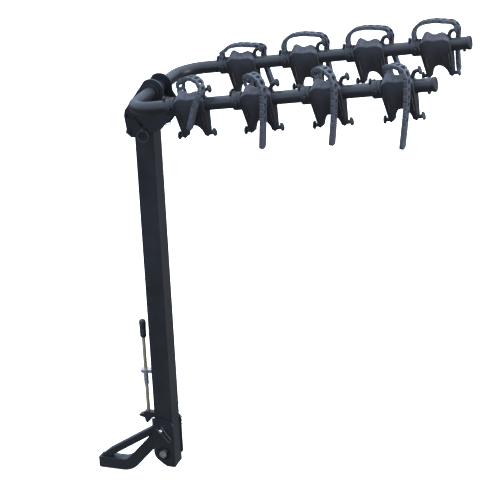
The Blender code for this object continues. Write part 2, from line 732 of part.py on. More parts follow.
# Strap routes in a cradle's own axes: X, Y, Z and the direction of the strap's width in degrees
# from X. The near row's straps cross over to the front and hang down in front of the cradle.
def far_route(top_z, tail_x):
    return [
        (-0.060, 0, 0.036, 90), (-0.050, 0, top_z - 0.014, 90), (-0.028, 0, top_z - 0.003, 90),
        (0, 0, top_z, 90), (0.027, 0.003, top_z - 0.004, 86), (0.047, 0.014, 0.050, 84),
        (0.053, 0.027, 0.030, 88), (0.0475, 0.032, 0.005, 90),
        (0.044 + tail_x * 0.5, 0.033, -0.035, 90), (0.044 + tail_x, 0.033, -0.074, 90),
    ]


# Each route is x, y and z from the cradle's centre on the arm's axis, and the angle of the
# strap's width about Z, in degrees.
NEAR_ROUTES = [
    [(-0.036, 0.022, 0.038, 50), (-0.024, 0.017, 0.053, 50), (0, 0.006, 0.063, 52),
     (0.024, -0.008, 0.0635, 58), (0.042, -0.024, 0.055, 70), (0.045, -0.034, 0.036, 80),
     (0.025, -0.036, 0.006, 84), (0.0015, -0.036, -0.046, 84)],
    [(-0.036, 0.022, 0.038, 50), (-0.028, 0.017, 0.050, 50), (-0.010, 0.003, 0.0585, 52),
     (0.010, -0.015, 0.056, 60), (0.024, -0.029, 0.044, 74), (0.0275, -0.035, 0.018, 82),
     (0.0165, -0.035, -0.042, 84), (0.0038, -0.035, -0.104, 84)],
    [(-0.036, 0.022, 0.038, 50), (-0.028, 0.017, 0.051, 50), (-0.009, 0.002, 0.0595, 52),
     (0.012, -0.016, 0.056, 60), (0.026, -0.030, 0.044, 74), (0.029, -0.035, 0.018, 82),
     (0.0195, -0.035, -0.040, 84), (0.0035, -0.035, -0.108, 84)],
    [(-0.036, 0.022, 0.038, 50), (-0.029, 0.018, 0.045, 50), (-0.012, 0.004, 0.050, 52),
     (0.010, -0.014, 0.0505, 60), (0.026, -0.029, 0.044, 72), (0.0305, -0.035, 0.022, 82),
     (0.0195, -0.035, -0.042, 84), (-0.0022, -0.035, -0.129, 84)],
]
FAR_ROUTES = [far_route(0.050, 0.016), far_route(0.062, 0.006), far_route(0.062, 0.020),
              far_route(0.062, -0.004)]


def strap_mesh(name, route):
    """A strip of a grid laid along the route, for a Solidify modifier to thicken."""
    fine = smooth_route(route, 3)
    work = bmesh.new()
    bmesh.ops.create_grid(work, x_segments=len(fine) - 1, y_segments=1, size=1.0)
    step = 2.0 / (len(fine) - 1)
    for vert in work.verts:
        place = fine[round((vert.co.x + 1) / step)]
        side = 1 if vert.co.y > 0 else -1
        angle = math.radians(place[3])
        across = Vector((math.cos(angle), math.sin(angle), 0)) * (side * STRAP_WIDTH / 2)
        vert.co = Vector(place[:3]) + across
    mesh = bpy.data.meshes.new(name)
    work.to_mesh(mesh)
    work.free()
    return mesh


def make_strap(name, frame, place, route):
    strap = add_object(name, strap_mesh(name, route), RUBBER, frame, place)
    thick = strap.modifiers.new("Thickness", "SOLIDIFY")
    thick.thickness = STRAP_THICK
    thick.offset = 0


def make_cradles(frame):
    shared = cradle_mesh()
    head = [(0, 0), (0.0046, 0), (0.0046, 0.002), (0.0036, 0.0035), (0, 0.0035)]
    middle = (COLLAR_ENDS[0] + COLLAR_ENDS[1]) / 2
    for row, y in (("near", -ARM_SPREAD), ("far", ARM_SPREAD)):
        for i in range(CRADLES):
            u = CRADLE_FIRST + i * CRADLE_PITCH
            label = f"{row}_{i + 1}"
            add_object("cradle_" + label, shared, PLASTIC, frame, (u, y, 0))
            route = NEAR_ROUTES[i] if row == "near" else FAR_ROUTES[i]
            make_strap("strap_" + label, frame, (u, y, 0), route)
            place = (u + middle, y - COLLAR_RADIUS - GAP, 0)
            screw_turn = (math.pi / 2, 0, 0)
            turned("cradle_screw_" + label, head, POWDER_COAT, frame, place, screw_turn, 8)


def make_arms():
    frame = bpy.data.objects.new("arm_axes", None)
    frame.location = (HEAD[0], 0, HEAD[1])
    frame.rotation_euler = (0, -ARM_TILT, 0)
    RACK.objects.link(frame)
    make_arm_tube(frame)
    make_arm_ends(frame)
    make_cradles(frame)


clear_scene()
RACK = new_collection("hitch_bike_rack")
CUTTERS = new_collection("cutters")
make_shank_bar()
make_shank_brace()
make_end_plug()
make_bracket()
make_tilt_pivot()
make_tilt_lock()
make_lanyard()
make_mast()
make_mast_cap()
make_fold_lug()
make_rod_guide()
make_release_rod()
make_head_plates()
make_head_lock()
make_arms()
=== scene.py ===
"""The looks of the hitch mounted bike rack: camera, light, materials and the detailed pieces."""
import json
import math

import bmesh
import bpy
from mathutils import Matrix, Vector


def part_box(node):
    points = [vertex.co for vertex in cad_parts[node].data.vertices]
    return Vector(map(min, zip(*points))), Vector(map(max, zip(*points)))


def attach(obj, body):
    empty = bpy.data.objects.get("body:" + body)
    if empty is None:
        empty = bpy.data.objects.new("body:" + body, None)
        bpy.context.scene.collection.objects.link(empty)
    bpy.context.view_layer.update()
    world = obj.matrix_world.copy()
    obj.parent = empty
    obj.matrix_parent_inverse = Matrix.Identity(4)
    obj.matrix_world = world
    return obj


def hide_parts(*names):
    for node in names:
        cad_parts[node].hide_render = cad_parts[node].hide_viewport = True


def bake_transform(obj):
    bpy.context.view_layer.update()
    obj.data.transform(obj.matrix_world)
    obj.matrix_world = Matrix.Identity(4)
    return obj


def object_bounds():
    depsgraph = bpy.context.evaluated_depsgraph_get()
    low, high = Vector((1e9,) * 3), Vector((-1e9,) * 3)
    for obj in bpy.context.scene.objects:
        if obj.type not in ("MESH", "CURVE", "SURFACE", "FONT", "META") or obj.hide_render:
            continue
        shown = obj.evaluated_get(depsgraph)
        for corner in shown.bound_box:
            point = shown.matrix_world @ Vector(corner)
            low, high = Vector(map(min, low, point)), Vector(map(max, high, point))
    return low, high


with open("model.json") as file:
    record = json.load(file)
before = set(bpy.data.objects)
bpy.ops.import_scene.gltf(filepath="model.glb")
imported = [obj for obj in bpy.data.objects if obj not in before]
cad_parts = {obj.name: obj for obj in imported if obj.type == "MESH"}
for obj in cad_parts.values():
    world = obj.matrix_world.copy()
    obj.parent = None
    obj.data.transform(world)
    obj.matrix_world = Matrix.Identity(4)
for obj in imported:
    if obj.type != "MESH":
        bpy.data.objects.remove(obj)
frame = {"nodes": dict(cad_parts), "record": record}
CAD_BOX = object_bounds()

NEAR, FAR = -1, 1
ROWS = {"near": NEAR, "far": FAR}
CRADLES = 4


# ---------------------------------------------------------------- places read from the frame


def middle_of(node):
    low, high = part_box(node)
    return (low + high) / 2


def arm_axes():
    """The arm frame's axes: X along the arms, with its origin on the tube across the head."""
    collars = (middle_of("head_collar_near") + middle_of("head_collar_far")) / 2
    caps = (middle_of("arm_cap_near") + middle_of("arm_cap_far")) / 2
    along = caps - collars
    rise = math.atan2(along.z, along.x)
    return Matrix.Translation(collars) @ Matrix.Rotation(-rise, 4, "Y")


ARMS = arm_axes()
TO_ARMS = ARMS.inverted()
ARM_RADIUS = 0.03175 / 2
ARM_SPREAD = (TO_ARMS @ middle_of("arm_cap_far")).y
ARM_BEND = 0.063
ARM_SIDES = 48
END_PAST_CAP_MIDDLE = 0.003
TUBE_TIP_GAP = 0.0035
ARM_LENGTH = (TO_ARMS @ middle_of("arm_cap_far")).x + END_PAST_CAP_MIDDLE
SCREW_TO_CRADLE = 0.0485


def cradle_place(row, number):
    """A cradle's own axes in the row frame, found from its clamp screw."""
    screw = TO_ARMS @ middle_of(f"cradle_screw_{row}_{number}")
    return ARMS @ Matrix.Translation((screw.x + SCREW_TO_CRADLE, ROWS[row] * ARM_SPREAD, 0))


# ---------------------------------------------------------------- camera and light

CAMERA_PLACE = Vector((1.7843, -3.6790, 2.1849))
CAMERA_AIM = Vector((0.4548, 0.0, 0.6567))
CAMERA_ROLL = math.radians(2.60)
CAMERA_LENS = 119.9
SENSOR_WIDTH = 36

SKY_STRENGTH = 2.1
# From straight down (0) to straight up (1): the height of each stop and its colour.
SKY_STOPS = [
    (0.47, (0.030, 0.030, 0.033, 1)),
    (0.56, (0.50, 0.62, 0.90, 1)),
    (0.95, (0.72, 0.85, 1.0, 1)),
    (0.30, (0.10, 0.10, 0.10, 1)),
]
# Name, place, the point it faces, its two sides, power and colour.
LAMPS = [
    ("sky_light", (0.6, 0.4, 4.2), (0.4, 0, 0.6), (4.0, 4.0), 75, (0.66, 0.82, 1.0)),
    ("front_light", (-1.6, -3.6, 2.2), (0.3, 0, 0.6), (2.0, 2.0), 5, (1.0, 0.98, 0.96)),
    ("side_light", (4.4, -0.6, 1.5), (0.2, 0, 0.6), (2.2, 2.2), 95, (1.0, 0.99, 0.98)),
]
FLOOR_DROP = 0.002
FLOOR_SIZE = 30


def make_camera():
    data = bpy.data.cameras.new("camera")
    data.lens = CAMERA_LENS
    data.sensor_width = SENSOR_WIDTH
    data.clip_end = 100
    camera = bpy.data.objects.new("camera", data)
    bpy.context.scene.collection.objects.link(camera)
    turn = (CAMERA_AIM - CAMERA_PLACE).to_track_quat("-Z", "Y").to_matrix().to_4x4()
    roll = Matrix.Rotation(-CAMERA_ROLL, 4, "Z")
    camera.matrix_world = Matrix.Translation(CAMERA_PLACE) @ turn @ roll
    bpy.context.scene.camera = camera


def make_world():
    """White to the camera; a sky to the object, pale blue above and dark just under the horizon."""
    world = bpy.data.worlds.new("studio")
    world.use_nodes = True
    tree = world.node_tree
    tree.nodes.clear()
    out = tree.nodes.new("ShaderNodeOutputWorld")
    mix = tree.nodes.new("ShaderNodeMixShader")
    path = tree.nodes.new("ShaderNodeLightPath")
    white = tree.nodes.new("ShaderNodeBackground")
    white.inputs["Color"].default_value = (1, 1, 1, 1)
    white.inputs["Strength"].default_value = 1.0
    sky = tree.nodes.new("ShaderNodeBackground")
    sky.inputs["Strength"].default_value = SKY_STRENGTH
    ramp = tree.nodes.new("ShaderNodeValToRGB")
    stops = ramp.color_ramp.elements
    for stop, (height, colour) in zip(list(stops), SKY_STOPS):
        stop.position, stop.color = height, colour
    for height, colour in SKY_STOPS[len(stops):]:
        stops.new(height).color = colour
    coords = tree.nodes.new("ShaderNodeTexCoord")
    split = tree.nodes.new("ShaderNodeSeparateXYZ")
    scale = tree.nodes.new("ShaderNodeMapRange")
    scale.inputs["From Min"].default_value = -1
    scale.inputs["From Max"].default_value = 1
    link = tree.links.new
    link(coords.outputs["Generated"], split.inputs[0])
    link(split.outputs["Z"], scale.inputs["Value"])
    link(scale.outputs["Result"], ramp.inputs["Fac"])
    link(ramp.outputs["Color"], sky.inputs["Color"])
    link(path.outputs["Is Camera Ray"], mix.inputs[0])
    link(sky.outputs[0], mix.inputs[1])
    link(white.outputs[0], mix.inputs[2])
    link(mix.outputs[0], out.inputs["Surface"])
    bpy.context.scene.world = world
    bpy.context.scene.view_settings.view_transform = "Standard"


def make_lamp(name, place, aim, size, power, colour):
    data = bpy.data.lights.new(name, "AREA")
    data.shape = "RECTANGLE"
    data.size, data.size_y = size
    data.energy = power
    data.color = colour
    lamp = bpy.data.objects.new(name, data)
    bpy.context.scene.collection.objects.link(lamp)
    lamp.location = place
    lamp.rotation_euler = (Vector(aim) - Vector(place)).to_track_quat("-Z", "Y").to_euler()


def make_floor():
    """A white floor that only the camera sees."""
    floor_z = CAD_BOX[0].z - FLOOR_DROP
    bpy.ops.mesh.primitive_plane_add(size=FLOOR_SIZE, location=(0.4, 0, floor_z))
    floor = bpy.context.object
    floor.name = "floor"
    floor.visible_glossy = False
    floor.visible_diffuse = False
    pale = bpy.data.materials.new("pale_floor")
    pale.use_nodes = True
    shader = pale.node_tree.nodes["Principled BSDF"]
    shader.inputs["Base Color"].default_value = (0.93, 0.93, 0.93, 1)
    shader.inputs["Roughness"].default_value = 0.9
    shader.inputs["Emission Color"].default_value = (1, 1, 1, 1)
    shader.inputs["Emission Strength"].default_value = 1.0
    floor.data.materials.append(pale)


# ---------------------------------------------------------------- materials


def new_material(name, colour, roughness, metallic=0.0):
    made = bpy.data.materials.new(name)
    made.use_nodes = True
    shader = made.node_tree.nodes["Principled BSDF"]
    shader.inputs["Base Color"].default_value = (*colour, 1)
    shader.inputs["Roughness"].default_value = roughness
    shader.inputs["Metallic"].default_value = metallic
    return made


def add_noise(made, scale, detail=3.0, stretch=(1, 1, 1)):
    """A noise texture in the object's own space, in metres."""
    tree = made.node_tree
    coords = tree.nodes.new("ShaderNodeTexCoord")
    mapping = tree.nodes.new("ShaderNodeMapping")
    mapping.inputs["Scale"].default_value = stretch
    noise = tree.nodes.new("ShaderNodeTexNoise")
    noise.inputs["Scale"].default_value = scale
    noise.inputs["Detail"].default_value = detail
    tree.links.new(coords.outputs["Object"], mapping.inputs["Vector"])
    tree.links.new(mapping.outputs["Vector"], noise.inputs["Vector"])
    return noise.outputs["Fac"]


def drive_colour(made, factor, dark, light, low=0.35, high=0.65):
    ramp = made.node_tree.nodes.new("ShaderNodeValToRGB")
    ramp.color_ramp.elements[0].position = low
    ramp.color_ramp.elements[0].color = (*dark, 1)
    ramp.color_ramp.elements[1].position = high
    ramp.color_ramp.elements[1].color = (*light, 1)
    shader = made.node_tree.nodes["Principled BSDF"]
    made.node_tree.links.new(factor, ramp.inputs["Fac"])
    made.node_tree.links.new(ramp.outputs["Color"], shader.inputs["Base Color"])


def drive_roughness(made, factor, low, high):
    spread = made.node_tree.nodes.new("ShaderNodeMapRange")
    spread.inputs["From Min"].default_value = 0.3
    spread.inputs["From Max"].default_value = 0.7
    spread.inputs["To Min"].default_value = low
    spread.inputs["To Max"].default_value = high
    shader = made.node_tree.nodes["Principled BSDF"]
    made.node_tree.links.new(factor, spread.inputs["Value"])
    made.node_tree.links.new(spread.outputs["Result"], shader.inputs["Roughness"])


def add_bump(made, height, distance, strength=1.0):
    bump = made.node_tree.nodes.new("ShaderNodeBump")
    bump.inputs["Distance"].default_value = distance
    bump.inputs["Strength"].default_value = strength
    shader = made.node_tree.nodes["Principled BSDF"]
    made.node_tree.links.new(height, bump.inputs["Height"])
    made.node_tree.links.new(bump.outputs["Normal"], shader.inputs["Normal"])


def powder_coat():
    """Satin black powder coat: faint orange peel, and a slow change in gloss."""
    made = new_material("powder_coat_black", (0.012, 0.013, 0.016), 0.42)
    drive_colour(made, add_noise(made, 9), (0.0085, 0.009, 0.011), (0.013, 0.014, 0.017))
    drive_roughness(made, add_noise(made, 26), 0.36, 0.50)
    add_bump(made, add_noise(made, 900, 2), 0.00012, 0.45)
    return made


def cradle_plastic():
    """Moulded charcoal plastic with a fine spark-eroded grain."""
    made = new_material("cradle_plastic_charcoal", (0.018, 0.017, 0.020), 0.55)
    drive_colour(made, add_noise(made, 35), (0.0085, 0.008, 0.009), (0.0145, 0.014, 0.016))
    drive_roughness(made, add_noise(made, 60), 0.46, 0.62)
    add_bump(made, add_noise(made, 1500, 2), 0.00015, 0.5)
    return made


def saddle_rubber():
    """The softer, slightly purple-grey pad on a cradle's saddle."""
    made = new_material("saddle_rubber_grey", (0.050, 0.047, 0.056), 0.60)
    drive_colour(made, add_noise(made, 50), (0.050, 0.047, 0.057), (0.085, 0.078, 0.092))
    drive_roughness(made, add_noise(made, 80), 0.50, 0.68)
    add_bump(made, add_noise(made, 1100, 2), 0.0002, 0.5)
    return made


def strap_rubber():
    """Vulcanised strap rubber with a dusty bloom."""
    made = new_material("strap_rubber_grey", (0.036, 0.038, 0.045), 0.62)
    drive_colour(made, add_noise(made, 70, 5), (0.040, 0.042, 0.050), (0.075, 0.078, 0.090))
    drive_roughness(made, add_noise(made, 90), 0.52, 0.72)
    add_bump(made, add_noise(made, 1300, 2), 0.0002, 0.5)
    return made


def plated(name, dark, light, roughness):
    """Zinc plate: a metal with small spangles and a slow change in tint."""
    made = new_material(name, light, roughness, 1.0)
    drive_colour(made, add_noise(made, 160, 4), dark, light)
    drive_roughness(made, add_noise(made, 300), roughness - 0.06, roughness + 0.10)
    add_bump(made, add_noise(made, 1800, 2), 0.00005, 0.4)
    return made


def yellow_zinc():
    """Yellow passivated rod, drawn along its length, with a warm tint that wanders."""
    made = new_material("yellow_zinc_rod", (0.50, 0.41, 0.23), 0.48, 0.7)
    drawn = add_noise(made, 60, 4, (1, 1, 0.12))
    drive_colour(made, drawn, (0.36, 0.29, 0.16), (0.60, 0.50, 0.30))
    drive_roughness(made, add_noise(made, 200), 0.40, 0.58)
    add_bump(made, add_noise(made, 900, 2, (1, 1, 0.05)), 0.00008, 0.5)
    return made


def steel_wire():
    """Drawn wire, with the fine twist of its strands as a bump."""
    made = new_material("steel_wire_drawn", (0.06, 0.062, 0.065), 0.42, 0.6)
    drive_colour(made, add_noise(made, 500), (0.035, 0.036, 0.038), (0.10, 0.102, 0.106))
    drive_roughness(made, add_noise(made, 400), 0.30, 0.48)
    add_bump(made, add_noise(made, 2400, 1, (1, 1, 0.3)), 0.0001, 0.6)
    return made


def grip_rubber():
    made = new_material("grip_rubber_black", (0.012, 0.012, 0.013), 0.52)
    drive_colour(made, add_noise(made, 120), (0.009, 0.009, 0.010), (0.018, 0.018, 0.020))
    drive_roughness(made, add_noise(made, 150), 0.45, 0.60)
    add_bump(made, add_noise(made, 1200, 2), 0.00015, 0.5)
    return made


COAT = powder_coat()
PLASTIC = cradle_plastic()
SADDLE = saddle_rubber()
STRAP = strap_rubber()
GRIP = grip_rubber()
ZINC = plated("bright_zinc_plate", (0.42, 0.43, 0.45), (0.66, 0.67, 0.69), 0.34)
YELLOW = yellow_zinc()
WIRE = steel_wire()
# The pivot washer's zinc is painted near black: a painted dark reflection of the ground below, set
# in its colour.
PAINTED_REFLECTION_ZINC = plated("zinc_washer_painted_reflection", (0.030, 0.031, 0.033), (0.065, 0.067, 0.070), 0.36)

SLOT_MATERIALS = {
    "powder_coat": COAT,
    "cradle_plastic": PLASTIC,
    "strap_rubber": STRAP,
    "bright_zinc": ZINC,
    "yellow_zinc": YELLOW,
    "steel_wire": WIRE,
}
NODE_MATERIALS = {"tilt_pivot_washer": PAINTED_REFLECTION_ZINC}
SHARP_EDGED = {
    "mast_tube": 0.0022,
    "bracket_plate_near": 0.0008,
    "bracket_plate_far": 0.0008,
    "head_plate_near": 0.0008,
    "head_plate_far": 0.0008,
    "fold_pivot_lug": 0.001,
    "rod_guide": 0.0008,
}


def dress_cad_nodes():
    """Materials, smooth shading and softened edges for the CAD nodes that stay in view."""
    slots = {part["node"]: part["material_slot"] for part in frame["record"]["subparts"]}
    for name, item in frame["nodes"].items():
        item.data.materials.clear()
        item.data.materials.append(NODE_MATERIALS.get(name, SLOT_MATERIALS[slots[name]]))
        for face in item.data.polygons:
            face.use_smooth = True
        item.data.set_sharp_from_angle(angle=math.radians(35))
        if name in SHARP_EDGED:
            soften(item, SHARP_EDGED[name])


def soften(item, width, segments=3):
    edge = item.modifiers.new("soft_edges", "BEVEL")
    edge.width = width
    edge.segments = segments
    edge.limit_method = "ANGLE"
    edge.angle_limit = math.radians(40)


# ---------------------------------------------------------------- mesh helpers


def new_piece(name, mesh, made_of, place=None):
    item = bpy.data.objects.new(name, mesh)
    bpy.context.scene.collection.objects.link(item)
    if not mesh.materials:
        mesh.materials.append(made_of)
    if place is not None:
        item.matrix_world = place
    return item


def mesh_from(work, name, sharp=40):
    bmesh.ops.recalc_face_normals(work, faces=work.faces)
    mesh = bpy.data.meshes.new(name)
    work.to_mesh(mesh)
    work.free()
    for face in mesh.polygons:
        face.use_smooth = True
    mesh.set_sharp_from_angle(angle=math.radians(sharp))
    return mesh


def add_loft(work, rings):
    """Joins rings of equal length into a closed skin."""
    made = [[work.verts.new(point) for point in ring] for ring in rings]
    count = len(rings[0])
    for first, second in zip(made, made[1:]):
        for i in range(count):
            j = (i + 1) % count
            work.faces.new((first[i], first[j], second[j], second[i]))
    work.faces.new(list(reversed(made[0])))
    work.faces.new(made[-1])


def add_tube(work, points, radii, sides):
    """A round section carried along a path of points, with a radius at each."""
    points = [Vector(p) for p in points]
    tangents = []
    for i in range(len(points)):
        ahead = points[min(i + 1, len(points) - 1)]
        behind = points[max(i - 1, 0)]
        step = ahead - behind
        tangents.append(step.normalized() if step.length > 1e-9 else tangents[-1])
    side = tangents[0].orthogonal().normalized()
    rings = []
    for point, tangent, radius in zip(points, tangents, radii):
        side = (side - tangent * side.dot(tangent)).normalized()
        other = tangent.cross(side)
        ring = []
        for k in range(sides):
            angle = 2 * math.pi * k / sides
            ring.append(point + side * (radius * math.cos(angle))
                        + other * (radius * math.sin(angle)))
        rings.append(ring)
    add_loft(work, rings)


def smooth_route(points, steps):
    """Catmull-Rom points through a given route of any number of coordinates."""
    padded = [points[0], *points, points[-1]]
    route = []
    for a, b, c, d in zip(padded, padded[1:], padded[2:], padded[3:]):
        a, b, c, d = Vector(a), Vector(b), Vector(c), Vector(d)
        for i in range(steps):
            t = i / steps
            route.append(
                (2 * b + (c - a) * t + (2 * a - 5 * b + 4 * c - d) * t**2
                 + (3 * b - a - 3 * c + d) * t**3) / 2
            )
    route.append(Vector(points[-1]))
    return route


def arc(centre, radius, start, end, steps):
    angles = [math.radians(start + (end - start) * i / steps) for i in range(steps + 1)]
    return [(centre[0] + radius * math.cos(a), centre[1] + radius * math.sin(a)) for a in angles]


# ---------------------------------------------------------------- the lock pin's lanyard

LANYARD_DIAMETER = 0.002
LANYARD_ROUTE = [
    (0.190, 0.0403, 0.151),
    (0.190, 0.0447, 0.1520),
    (0.1905, 0.0478, 0.156),
    (0.1935, 0.0485, 0.164),
    (0.2045, 0.0475, 0.1745),
    (0.226, 0.0455, 0.176),
    (0.256, 0.0440, 0.165),
    (0.296, 0.0430, 0.158),
    (0.319, 0.0430, 0.150),
    (0.325, 0.0430, 0.136),
    (0.315, 0.0430, 0.116),
    (0.293, 0.0440, 0.101),
    (0.262, 0.0460, 0.100),
    (0.232, 0.0505, 0.109),
    (0.212, 0.0530, 0.119),
    (0.2035, 0.0530, 0.1285),
]


def make_lanyard():
    route = smooth_route(LANYARD_ROUTE, 8)
    work = bmesh.new()
    add_tube(work, route, [LANYARD_DIAMETER / 2] * len(route), 12)
    wire = new_piece("lanyard_wire", mesh_from(work, "lanyard_wire"), WIRE)
    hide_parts("tilt_lanyard")
    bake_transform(wire)


# ---------------------------------------------------------------- arms


def make_arm_tube():
    """The U-shaped tube with a round section fine enough for its long highlights."""
    bend = ARM_SPREAD - ARM_BEND
    corner = arc((ARM_BEND, -bend), ARM_BEND, 270, 180, 28)
    near = [(x, y, 0) for x, y in corner]
    far = [(x, -y, 0) for x, y in reversed(corner)]
    tip = ARM_LENGTH - TUBE_TIP_GAP
    points = [(tip, -ARM_SPREAD, 0), *near, *far, (tip, ARM_SPREAD, 0)]
    work = bmesh.new()
    add_tube(work, points, [ARM_RADIUS] * len(points), ARM_SIDES)
    tube = new_piece("arm_tube_skin", mesh_from(work, "arm_tube_skin"), COAT, ARMS)
    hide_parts("arm_tube")
    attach(tube, "arm_frame")


# Distance along the arm from the middle of the CAD cap, and radius.
CAP_PROFILE = [
    (-0.0005, 0.0100), (-0.0005, 0.0170), (0.0004, 0.0174), (0.0052, 0.0174), (0.0068, 0.0168),
    (0.0078, 0.0152), (0.0078, 0.0130), (0.0070, 0.0120), (0.0068, 0.0060), (0.0068, 0.0002),
]


def make_arm_caps():
    """Moulded end caps: a rounded rim round a shallow dish."""
    for row, side in ROWS.items():
        work = bmesh.new()
        start = ARM_LENGTH - END_PAST_CAP_MIDDLE
        points = [(start + along, side * ARM_SPREAD, 0) for along, _ in CAP_PROFILE]
        ring_tube(work, points, [radius for _, radius in CAP_PROFILE], ARM_SIDES)
        name = f"arm_end_cap_{row}"
        cap = new_piece(name, mesh_from(work, name), PLASTIC, ARMS)
        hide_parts(f"arm_cap_{row}")
        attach(cap, "arm_frame")


def ring_tube(work, points, radii, sides):
    """Rings that all face along X, for a turned shape whose profile may turn back."""
    rings = []
    for point, radius in zip(points, radii):
        ring = []
        for k in range(sides):
            angle = 2 * math.pi * k / sides
            ring.append((point[0], point[1] + radius * math.cos(angle),
                         point[2] + radius * math.sin(angle)))
        rings.append(ring)
    add_loft(work, rings)


# ---------------------------------------------------------------- cradles

DEPTH = 0.0197
LEG_Z = -0.0775
LEFT_FOOT, RIGHT_FOOT = -0.031, 0.036
ARCH_HALF_WIDTH = 0.0222
ARCH_HEIGHT = 0.031
SADDLE_HALF_WIDTH = 0.0385
HORN_X = 0.0190
LEFT_HORN_Z, RIGHT_HORN_Z = 0.0365, 0.0315
VALLEY_Z = 0.0280
SHOULDER_Z = 0.0110
RIDGE_PITCH = 0.0085
SADDLE_BASE_Z = 0.012
SADDLE_EDGE_LOSS = 0.68  # how much of the saddle's rise is gone at its front and back edges


COLLAR_PROFILE = [
    (-0.0598, 0.0166), (-0.0598, 0.0205), (-0.0590, 0.0214), (-0.0480, 0.0214),
    (-0.0470, 0.0206), (-0.0460, 0.0214), (-0.0380, 0.0214), (-0.0372, 0.0205),
]
# Each peg's stem in X and Z, and the radius of its head: left foot, right foot, horn, collar.
PEGS = [
    ([(-0.026, -0.066), (-0.032, -0.0715), (-0.0400, -0.0715)], 0.0100),
    ([(0.030, -0.064), (0.036, -0.0705), (0.0445, -0.0700)], 0.0100),
    ([(0.029, 0.006), (0.0345, 0.022), (0.0405, 0.0325), (0.0505, 0.0350)], 0.0100),
    ([(-0.052, 0.0187), (-0.057, 0.0187), (-0.0615, 0.0187)], 0.0080),
]
# The share of the half depth at each section of the body, and how far its edge is drawn in.
BODY_SECTIONS = [
    (-1, 0.0022), (-0.965, 0.0008), (-0.90, 0), (-0.6, 0), (-0.3, 0), (0, 0),
    (0.3, 0), (0.6, 0), (0.90, 0), (0.965, 0.0008), (1, 0.0022),
]
PAD_SHARES = (-0.97, -0.90, -0.6, -0.3, 0, 0.3, 0.6, 0.90, 0.97)
RIDGE_HEIGHT = 0.0008


def saddle_line(steps=40):
    """The saddle's line from its right shoulder to its left: two horns and a valley."""
    line = []
    for i in range(steps + 1):
        x = SADDLE_HALF_WIDTH * (1 - 2 * i / steps)
        horn_z = RIGHT_HORN_Z if x > 0 else LEFT_HORN_Z
        if abs(x) < HORN_X:
            z = VALLEY_Z + (horn_z - VALLEY_Z) * (0.5 - 0.5 * math.cos(math.pi * x / HORN_X))
        else:
            share = (SADDLE_HALF_WIDTH - abs(x)) / (SADDLE_HALF_WIDTH - HORN_X)
            z = SHOULDER_Z + (horn_z - SHOULDER_Z) * math.sin(share * math.pi / 2)
        line.append((x, z))
    return line


def sloped(z, share):
    """A saddle height, lowered towards the front and back edges."""
    if z < SADDLE_BASE_Z:
        return z
    return SADDLE_BASE_Z + (z - SADDLE_BASE_Z) * (1 - SADDLE_EDGE_LOSS * abs(share) ** 1.3)


def depth_at(z):
    """Half the cradle's depth, which narrows down its legs."""
    down = min(max((-0.022 - z) / 0.055, 0.0), 1.0)
    return DEPTH * (1 - 0.50 * down)


def arch_line(inset, steps=22):
    """The opening between the legs, from left to right."""
    middle = (LEFT_FOOT + RIGHT_FOOT) / 2
    wide, tall = ARCH_HALF_WIDTH + inset, ARCH_HEIGHT + inset
    angles = [math.pi * (1 - i / steps) for i in range(1, steps)]
    return [(middle + wide * math.cos(a), LEG_Z + tall * math.sin(a)) for a in angles]


def cradle_section(inset, share):
    """The cradle's outline at one depth, shrunk by inset."""
    left, right = LEFT_FOOT + inset, RIGHT_FOOT - inset
    floor = LEG_Z + inset
    outline = [(-0.0388 + inset, 0.008), (-0.0388 + inset, -0.012), (left - 0.0006, floor + 0.006),
               (left + 0.0012, floor + 0.0018), (left + 0.0045, floor), *arch_line(inset),
               (right - 0.0045, floor), (right - 0.0012, floor + 0.0018),
               (right + 0.0006, floor + 0.006), (0.0388 - inset, -0.012), (0.0388 - inset, 0.008)]
    top = [(x * (1 - inset / 0.039), sloped(z, share) - inset) for x, z in saddle_line()]
    return outline + top


def cradle_mesh():
    """One cradle: body, collar, pegs and the curved horn that carries the upper peg."""
    work = bmesh.new()
    rings = []
    for share, inset in BODY_SECTIONS:
        rings.append([(x, share * depth_at(z), z) for x, z in cradle_section(inset, share)])
    add_loft(work, rings)
    add_panels(work)
    ring_tube(work, [(x, 0, 0) for x, _ in COLLAR_PROFILE],
              [radius for _, radius in COLLAR_PROFILE], 40)
    add_tube(work, [(-0.0485, -0.0170, 0), (-0.0485, -0.0212, 0)], [0.0072, 0.0066], 24)
    for line, head in PEGS:
        add_peg(work, line, head)
    return mesh_from(work, "cradle_body")


def add_panels(work):
    """Shallow ribs down the front and back faces of each leg."""
    for side in (-1, 1):
        for x in (-0.0265, 0.0300):
            base, crown = [], []
            for dx, z in ((-0.0025, -0.052), (0.0025, -0.052), (0.0025, -0.016), (-0.0025, -0.016)):
                base.append((x + dx, side * (depth_at(z) - 0.001), z))
                crown.append((x + dx * 0.5, side * (depth_at(z) + 0.0006), z))
            add_loft(work, [base, crown])


def add_peg(work, line, head):
    """A mushroom peg on a curved stem, drawn in X and Z."""
    stem = smooth_route([(x, 0, z) for x, z in line], 5)
    way = (stem[-1] - stem[-2]).normalized()
    tip = stem[-1]
    points = [*stem, tip + way * 0.0001, tip + way * 0.0008, tip + way * 0.0034, tip + way * 0.0052,
              tip + way * 0.0063, tip + way * 0.0066]
    radii = [0.0056 - 0.0013 * i / len(stem) for i in range(len(stem))]
    radii += [head * 0.80, head, head * 1.02, head * 0.84, head * 0.42, 0.0002]
    add_tube(work, points, radii, 28)


